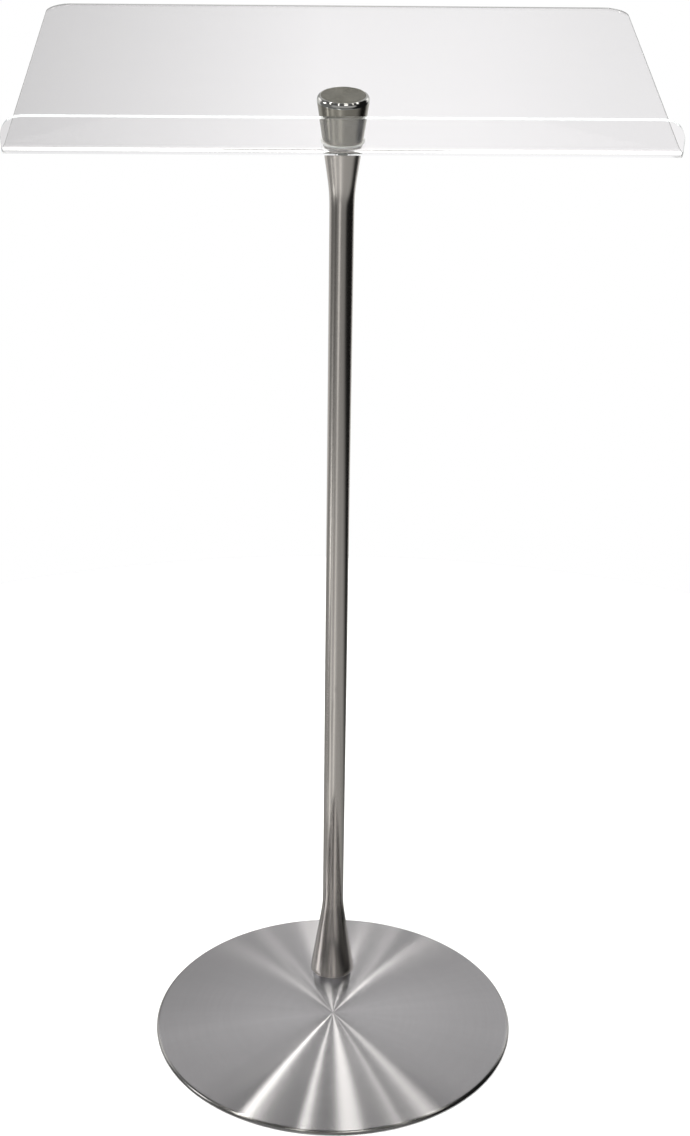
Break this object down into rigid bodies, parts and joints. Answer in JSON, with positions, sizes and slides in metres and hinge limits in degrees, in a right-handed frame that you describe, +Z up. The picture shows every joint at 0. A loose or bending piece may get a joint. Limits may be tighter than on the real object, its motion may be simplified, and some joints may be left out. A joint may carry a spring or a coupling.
{
  "type": "presentation lectern",
  "caption": "Free-standing lectern: clear acrylic reading shelf with a front lip, clamped by a flared knob on a leaning flared steel column with a round weighted base.",
  "frame": {"origin": "centre of the base's underside, on the floor", "axes": "+Z up; -Y towards the reader, whose side the column leans to; +X to the reader's right"},
  "size_m": [0.61, 0.4938, 1.0863],
  "materials": {
    "acrylic": "clear, polished edges",
    "column_steel": "satin, brushed along and around the column",
    "base_steel": "circular brushed",
    "knob_steel": "satin sides, circular brushed face, polished rim",
    "weight_iron": "bare, dark",
    "plug_steel": "turned",
    "zinc_hardware": "zinc plated",
    "nylon": "natural white",
    "pad_rubber": "matt black"
  },
  "bodies": {
    "stand": {"base_pad": "pad_rubber", "base_weight": "weight_iron", "base_cover": "base_steel", "foot_screw_1": "zinc_hardware", "foot_screw_2": "zinc_hardware", "foot_screw_3": "zinc_hardware", "foot_washer_1": "zinc_hardware", "foot_washer_2": "zinc_hardware", "foot_washer_3": "zinc_hardware", "foot_plug": "plug_steel", "column": "column_steel", "head_plug": "plug_steel", "stud": "zinc_hardware", "stud_locknut": "zinc_hardware", "lower_washer": "nylon"},
    "shelf": {"reading_shelf": "acrylic", "shelf_bush": "nylon"},
    "washer": {"upper_washer": "nylon"},
    "knob": {"clamp_knob": "knob_steel"}
  },
  "joints": [
    {"name": "shelf_swivel", "type": "hinge", "parent": "stand", "child": "shelf", "pos_m": [0, -0.07417, 1.02648], "axis": [0, -0.1607, 0.987], "continuous": true},
    {"name": "washer_lift", "type": "slide", "parent": "stand", "child": "washer", "axis": [0, -0.1607, 0.987], "range_m": [0, 0.006]},
    {"name": "knob_turn", "type": "hinge", "parent": "washer", "child": "knob", "pos_m": [0, -0.07739, 1.04622], "axis": [0, -0.1607, 0.987], "range_deg": [0, 1440]}
  ],
  "couplings": [
    {"joint": "washer_lift", "follows": "knob_turn", "m_per_rad": 0.00023873}
  ]
}
